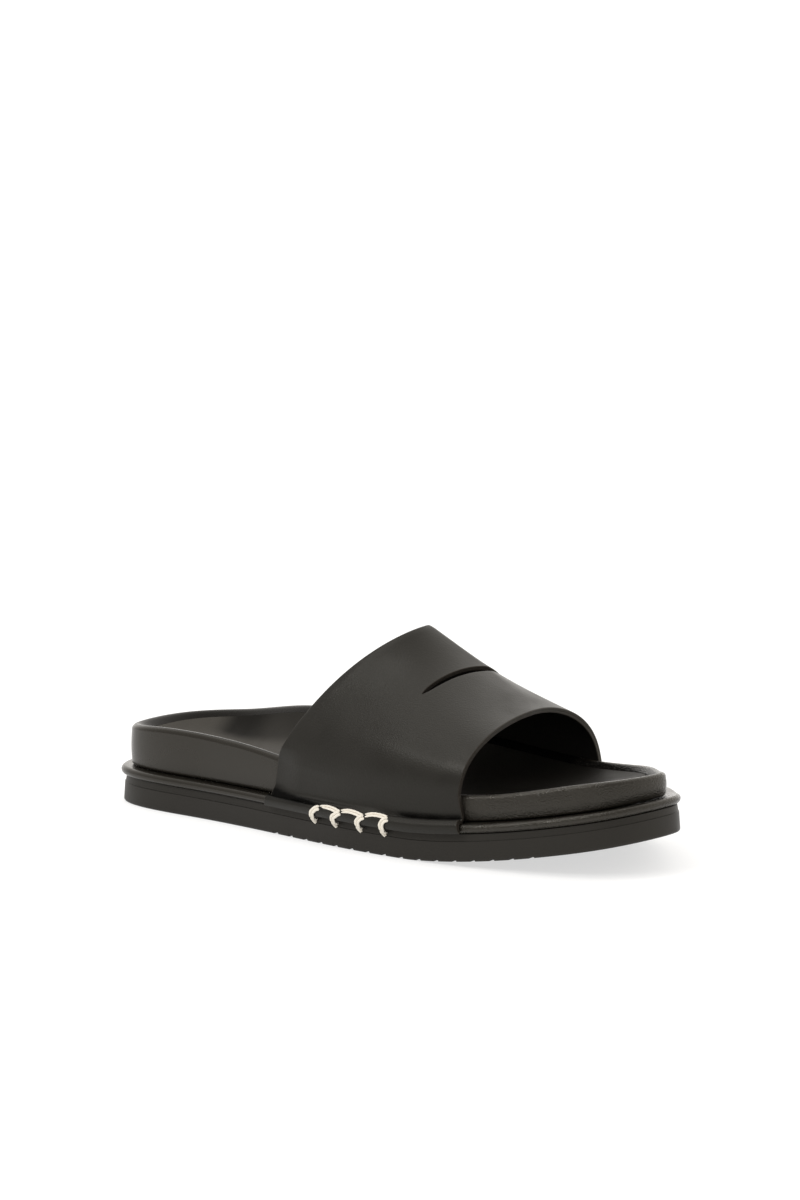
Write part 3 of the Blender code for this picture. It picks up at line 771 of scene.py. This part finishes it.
# %% Stitches
THREAD_WIDE, LINK_WIDE, THREAD_TALL = 0.00130, 0.00105, 0.00090
THREAD_STEPS, THREAD_SIDES = 80, 14
THREAD_END, THREAD_APART = 0.0008, 0.52      # length of the closing end; half the pair's spacing, in widths
TWIST_LENGTH, TWIST_DEEP = 0.0022, 0.05
Stitch = namedtuple("Stitch", "u_top v_top u_mid v_mid")
STITCHES = [Stitch(0.300, 4.6, 0.272, 1.8), Stitch(0.418, 4.2, 0.386, 1.6),
            Stitch(0.542, 4.3, 0.516, 1.8), Stitch(0.662, 5.0, 0.638, 2.2)]
# Each link: u and v in mm where it starts, twice on the way, and where it ends.
LINKS = [((0.304, 5.4), (0.330, 6.0), (0.376, 5.7), (0.422, 4.6)),
         ((0.422, 5.2), (0.454, 5.9), (0.502, 5.6), (0.544, 4.7)),
         ((0.548, 5.2), (0.580, 6.1), (0.620, 6.3), (0.664, 5.8))]
LINK_LIFTS = (-0.0006, 0.0002, 0.0004, 0.0003)
# An upright over the crease: u and v in mm beside its top mark, and the height over the leather.
OVER_CREASE = ((0.008, 0.5, -0.0004), (0.0, 0.0, 0.0001), (-0.013, -0.9, 0.0003))
# The same upright on the rubber: x beside its foot, height of the place, and height over the rubber.
ON_RUBBER = ((-0.0006, 0.0111, 0.0026), (-0.0006, 0.0102, 0.0014),
             (-0.0005, 0.0096, 0.0002), (-0.0004, 0.0092, -0.0012))
SOLE_NORMAL = (0.0, -0.94, 0.34)        # the way out of the rubber that the threads lie against

OUTSIDE = SURFACE - NORMAL * strap_relief(U[:, None])[..., None]


def on_strap(u, v_mm, lift):
    """A point at u and v on the strap's shaped outside, lifted along its normal, with that normal."""
    c, r = u * (COLUMNS - 1), v_mm / 1000 / (V[1] - V[0])
    i, j = int(min(c, COLUMNS - 2)), int(min(r, ROWS - 2))
    weights = [(1 - c + i) * (1 - r + j), (1 - c + i) * (r - j),
               (c - i) * (1 - r + j), (c - i) * (r - j)]
    places = [(i, j), (i, j + 1), (i + 1, j), (i + 1, j + 1)]
    point = sum(w * OUTSIDE[p] for w, p in zip(weights, places))
    normal = unit(sum(w * NORMAL[p] for w, p in zip(weights, places)))
    return point + normal * lift, normal


def on_sole(x, z, lift):
    """A point on the outer side of the rubber sole, lifted outwards."""
    return np.array([x, side_y(x, sole_side(z) - lift, False), z]), np.array(SOLE_NORMAL)


def through(points, count, guide):
    """A smooth curve through a few values, at even steps of the length of a guide line."""
    points = np.array(points)
    knots = np.concatenate([[0], np.cumsum(np.linalg.norm(np.diff(guide, axis=0), axis=1))])
    t = np.linspace(0, knots[-1], count)
    return np.stack([smooth(t, knots, points[:, k]) for k in range(3)], 1)


def thread_pair(path, normals, wide):
    """Two threads along one path. A thread's section is an ellipse, centre + side cos a + up sin a,
    swollen a little where the strands of its twist come up; its ends close to a point."""
    path, normals = through(path, THREAD_STEPS, path), unit(through(normals, THREAD_STEPS, path))
    forward = unit(np.gradient(path, axis=0))
    side = unit(np.cross(forward, normals))
    up = np.cross(side, forward)
    length = np.concatenate([[0], np.cumsum(np.linalg.norm(np.diff(path, axis=0), axis=1))])
    end = np.minimum(length, length[-1] - length) / THREAD_END
    taper = np.sqrt(np.clip(1 - np.clip(1 - end, 0, 1)**2, 0, 1))[:, None, None]
    a = 2 * np.pi * np.arange(THREAD_SIDES) / THREAD_SIDES
    threads = []
    for hand in (-1, 1):
        twist = 1 + TWIST_DEEP * np.cos(3 * a[None] - hand * 2 * np.pi * length[:, None] / TWIST_LENGTH)
        ellipse = (side[:, None] * (np.cos(a) * wide / 2)[None, :, None]
                   + up[:, None] * (np.sin(a) * THREAD_TALL / 2)[None, :, None]) * twist[..., None] * taper
        centre = path + side * hand * wide * THREAD_APART
        threads.append(centre[:, None] + ellipse)
    return threads


def make_stitches():
    """All the pairs of threads as one piece: the uprights first, then the links."""
    threads = []
    for stitch in STITCHES:
        x_foot = on_strap(stitch.u_mid, 0.0, 0.0)[0][0]
        marks = [on_strap(stitch.u_top + du, stitch.v_top + dv, lift) for du, dv, lift in OVER_CREASE]
        marks += [on_strap(stitch.u_mid, stitch.v_mid, 0.0004), on_strap(stitch.u_mid - 0.002, 0.0, 0.0005)]
        marks += [on_sole(x_foot + dx, z, lift) for dx, z, lift in ON_RUBBER]
        threads += thread_pair(*zip(*marks), THREAD_WIDE)
    for link in LINKS:
        marks = [on_strap(u, v, lift) for (u, v), lift in zip(link, LINK_LIFTS)]
        threads += thread_pair(*zip(*marks), LINK_WIDE)
    points = np.vstack([thread.reshape(-1, 3) for thread in threads])
    each = THREAD_STEPS * THREAD_SIDES
    faces = [ring_faces(THREAD_STEPS, THREAD_SIDES, number * each) for number in range(len(threads))]
    return make_piece("blanket_stitches", points, np.vstack(faces))


stitches = make_stitches()

# %% [markdown]
# ## Finishes
# Black leather is mostly its shine: a near-black colour, a satin gloss that varies a little, and a
# grain that breaks the highlights up. The grain is a cell pattern in Object coordinates, so it has the
# same size on every piece and needs no unwrapping.

# %% Material helpers
WARP = 0.0006               # share of noise mixed into the coordinates, so that no cell is regular
PORES = 0.45                # height of the pores beside the cells
GLOSS_SPAN = (0.3, 0.7)     # values of the slow noise over which the gloss changes
HEEL_SPAN = (-0.03, 0.05)   # x over which a finish changes from its heel end to its toe end
# Shine and colour of painted shade, used where a piece's attribute of painted shade is 1.
PAINTED_SHADE_SHINE, PAINTED_SHADE_COLOUR = 0.03, 0.0015


def set_up(made, **settings):
    """Sets the sockets or properties of a node by name, and returns it."""
    for key, value in settings.items():
        name = key.replace("_", " ")
        if name in made.inputs:
            made.inputs[name].default_value = value
        else:
            setattr(made, key, value)
    return made


def node(nodes, kind, **settings):
    """A new node of a kind, set up by name."""
    return set_up(nodes.new(kind), **settings)


def new_material(name, colour, roughness, specular):
    """A material with a Principled shader; returns it with its nodes, links and shader."""
    material = bpy.data.materials.new(name)
    material.use_nodes = True
    nodes, links = material.node_tree.nodes, material.node_tree.links
    shader = set_up(nodes["Principled BSDF"], Base_Color=(*colour, 1), Roughness=roughness,
                    Specular_IOR_Level=specular)
    return material, nodes, links, shader


def ramp(nodes, links, value, start_end, low_high, kind="LINEAR"):
    """A value between start and end, turned into one between low and high."""
    made = node(nodes, "ShaderNodeMapRange", interpolation_type=kind)
    for name, number in zip(("From Min", "From Max", "To Min", "To Max"), (*start_end, *low_high)):
        made.inputs[name].default_value = number
    links.new(value, made.inputs["Value"])
    return made.outputs["Result"]


def blend(nodes, links, factor, *colours):
    """Two colours mixed by a factor. A colour is three numbers or the output of another node."""
    made = node(nodes, "ShaderNodeMix", data_type="RGBA")
    for name, colour in zip("AB", colours):
        if isinstance(colour, bpy.types.NodeSocket):
            links.new(colour, made.inputs[name])
        else:
            made.inputs[name].default_value = (*colour, 1)
    links.new(factor, made.inputs["Factor"])
    return made.outputs["Result"]


def leather(name, colour, roughness, grain, depth, specular, patch=0.08, worn=0.35,
            tint=(1, 0.93, 0.80), paints_shade=False, heel=None, polish=(0.0, 0.2)):
    """Leather with a cell grain of a given size and depth, fine pores and slowly varying gloss. Its
    heel end can differ from its toe end: heel gives the share of grain depth, gloss and colour there.
    The switch for painted shade makes it dull and near black where the piece's attribute of painted
    shade is 1. polish is a clear coat over it."""
    material, nodes, links, shader = new_material(name, colour, roughness, specular)
    set_up(shader, Specular_Tint=(*tint, 1), Coat_Weight=polish[0], Coat_Roughness=polish[1])
    place = node(nodes, "ShaderNodeTexCoord").outputs["Object"]
    warp = node(nodes, "ShaderNodeTexNoise", Scale=0.35 / grain, Detail=2.0)
    links.new(place, warp.inputs["Vector"])
    mix = node(nodes, "ShaderNodeMix", data_type="VECTOR", Factor=WARP)
    links.new(place, mix.inputs["A"])
    links.new(warp.outputs["Color"], mix.inputs["B"])
    cells = node(nodes, "ShaderNodeTexVoronoi", feature="SMOOTH_F1", Scale=1 / grain, Smoothness=0.6)
    links.new(mix.outputs["Result"], cells.inputs["Vector"])
    pores = node(nodes, "ShaderNodeTexNoise", Scale=2.2 / grain, Detail=3.0, Roughness=0.6)
    links.new(place, pores.inputs["Vector"])
    slow = node(nodes, "ShaderNodeTexNoise", Scale=42.0, Detail=4.0, Roughness=0.55)
    links.new(place, slow.inputs["Vector"])
    relief = node(nodes, "ShaderNodeMath", operation="MULTIPLY_ADD")
    links.new(pores.outputs["Fac"], relief.inputs[0])
    relief.inputs[1].default_value = PORES
    links.new(cells.outputs["Distance"], relief.inputs[2])
    bump = node(nodes, "ShaderNodeBump", Strength=1.0, Distance=depth)
    links.new(relief.outputs[0], bump.inputs["Height"])
    links.new(bump.outputs["Normal"], shader.inputs["Normal"])
    links.new(bump.outputs["Normal"], shader.inputs["Coat Normal"])
    gloss = (roughness - patch, roughness + patch)
    links.new(ramp(nodes, links, slow.outputs["Fac"], GLOSS_SPAN, gloss), shader.inputs["Roughness"])
    colour = np.array(colour)
    shade = blend(nodes, links, slow.outputs["Fac"], colour * (1 - worn), colour * (1 + worn))
    shine = None
    # The colour share at the heel end is a painted highlight where it is above 1, as on the insole.
    if heel:
        place_x = node(nodes, "ShaderNodeSeparateXYZ")
        links.new(place, place_x.inputs[0])
        grain_part, shine, part = (
            ramp(nodes, links, place_x.outputs["X"], HEEL_SPAN, ends, "SMOOTHSTEP")
            for ends in ((heel[0], 1.0), (specular * heel[1], specular), (0.0, 1.0)))
        links.new(grain_part, bump.inputs["Strength"])
        links.new(shine, shader.inputs["Specular IOR Level"])
        shade = blend(nodes, links, part, colour * heel[2], shade)
    # Painted shade: where the piece's attribute is 1, the leather loses its shine and coat and turns near
    # black.
    if paints_shade:
        painted_shade = node(nodes, "ShaderNodeAttribute", attribute_name="painted_shade").outputs["Fac"]
        level = ramp(nodes, links, painted_shade, (0, 1), (specular, PAINTED_SHADE_SHINE))
        if shine:
            links.new(shine, level.node.inputs["To Min"])
        links.new(level, shader.inputs["Specular IOR Level"])
        links.new(ramp(nodes, links, painted_shade, (0, 1), (polish[0], 0)), shader.inputs["Coat Weight"])
        shade = blend(nodes, links, painted_shade, shade, [PAINTED_SHADE_COLOUR] * 3)
    links.new(shade, shader.inputs["Base Color"])
    return material


# %% Materials
strap_skin = leather("strap_leather", (0.0095, 0.0088, 0.0075), 0.40, 0.0007, 0.00005, 0.24,
                     patch=0.10, tint=(1, 0.96, 0.86), paints_shade=True, polish=(0.06, 0.25))
bed_skin = leather("footbed_leather", (0.0115, 0.0100, 0.0078), 0.27, 0.0007, 0.00018, 0.35,
                   heel=(0.15, 0.84, 1.0), paints_shade=True, polish=(0.20, 0.10))
# The insole's heel end is 3.8 times paler than its toe end, a painted highlight, and its shine 3.5 times
# stronger.
sock_skin = leather("insole_leather", (0.0060, 0.0055, 0.0048), 0.55, 0.0008, 0.00004, 0.11,
                    heel=(1.0, 3.5, 3.8), paints_shade=True)
lining_skin = leather("strap_lining", (0.0050, 0.0046, 0.0042), 0.80, 0.0006, 0.00005, 0.12)
cut_edge = leather("cut_edge", (0.0150, 0.0122, 0.0098), 0.55, 0.0004, 0.00006, 0.30)
rubber = leather("outsole_rubber", (0.0095, 0.0086, 0.0074), 0.48, 0.0005, 0.00003, 0.34,
                 tint=(1, 0.95, 0.86))
thread = leather("waxed_thread", (0.80, 0.75, 0.66), 0.55, 0.0004, 0.00004, 0.3, worn=0.08)
for piece, materials in ((outsole, [rubber]), (stitches, [thread]), (rim, [bed_skin]),
                         (footbed, [bed_skin]), (insole, [sock_skin]),
                         (strap, [strap_skin, cut_edge, lining_skin])):
    for material in materials:
        piece.data.materials.append(material)

# %% [markdown]
# ## Floor and light
# The photograph has a white floor and soft light from all round, stronger from behind. A broad light
# overhead and a long narrow one on the outer side draw the soft highlights of the leather.

# %% Floor and light
FLOOR_HALF, FLOOR_WHITE = 20.0, 0.44
FLOOR_GLOW = 0.61           # a white sweep is lit from below too, so that its shadows stay pale
FRONT_SKY, BACK_SKY = 0.62, 1.85       # strength of the light from the camera's side and from behind
SKY_SPAN = (-0.7, 1.0)      # the sky's own y over which it changes from front to back


def add_floor():
    """A wide white plane on the ground, which glows a little."""
    points = [(x * FLOOR_HALF, y * FLOOR_HALF, 0) for x, y in ((-1, -1), (1, -1), (1, 1), (-1, 1))]
    mesh = bpy.data.meshes.new("floor")
    mesh.from_pydata(points, [], [(0, 1, 2, 3)])
    floor = bpy.data.objects.new("floor", mesh)
    bpy.context.scene.collection.objects.link(floor)
    white, _, _, shader = new_material("floor_white", [FLOOR_WHITE] * 3, 0.9, 0.0)
    set_up(shader, Emission_Color=(1, 1, 1, 1), Emission_Strength=FLOOR_GLOW)
    floor.data.materials.append(white)


def add_light(name, place, target, size, power):
    """A rectangular area light at a place, turned to a target."""
    light = bpy.data.lights.new(name, "AREA")
    light.shape, light.energy = "RECTANGLE", power
    light.size, light.size_y = size
    holder = bpy.data.objects.new(name, light)
    bpy.context.scene.collection.objects.link(holder)
    holder.location = place
    away = Vector(place) - Vector(target)
    holder.rotation_euler = away.to_track_quat("Z", "Y").to_euler()


add_floor()
world = bpy.data.worlds.new("studio")
bpy.context.scene.world = world
world.use_nodes = True
sky, sky_links = world.node_tree.nodes, world.node_tree.links
direction = node(sky, "ShaderNodeSeparateXYZ")
sky_links.new(node(sky, "ShaderNodeTexCoord").outputs["Generated"], direction.inputs[0])
strength = ramp(sky, sky_links, direction.outputs["Y"], SKY_SPAN, (FRONT_SKY, BACK_SKY), "SMOOTHSTEP")
sky_links.new(strength, sky["Background"].inputs["Strength"])
set_up(sky["Background"], Color=(1.0, 0.97, 0.93, 1))
add_light("overhead", (-0.25, -0.35, 1.3), (0, 0, 0.05), (0.30, 0.9), 3.0)
add_light("strip", (-0.28, -0.98, 0.94), (0, 0, 0.04), (0.8, 0.07), 5.0)
